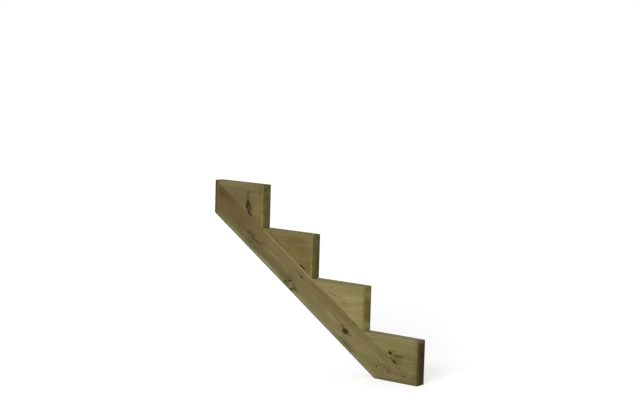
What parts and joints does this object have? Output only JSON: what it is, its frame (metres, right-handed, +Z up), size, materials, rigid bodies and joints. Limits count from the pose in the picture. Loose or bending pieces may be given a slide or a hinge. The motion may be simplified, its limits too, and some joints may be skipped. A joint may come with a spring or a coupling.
{
  "type": "stair stringer",
  "caption": "Built-up timber stair stringer: a sloping spine board, plumb cut at the top and level cut at the foot, carries right-angled step blocks that seat treads and risers.",
  "frame": {"origin": "centre of the level cut at the foot, on the ground", "axes": "+Z up; +X level, down the stair towards its front; Y across the thickness of the boards"},
  "size_m": [1, 0.045, 0.68],
  "materials": {
    "spine_pine": "planed, pressure-treated, olive brown",
    "block_pine": "planed, pressure-treated, olive green",
    "dowel_beech": "turned, bare"
  },
  "bodies": {
    "root": {"spine": "spine_pine", "step_block_1": "block_pine", "step_block_2": "block_pine", "step_block_3": "block_pine", "step_block_4": "block_pine", "joint_dowels": "dowel_beech"}
  },
  "joints": []
}
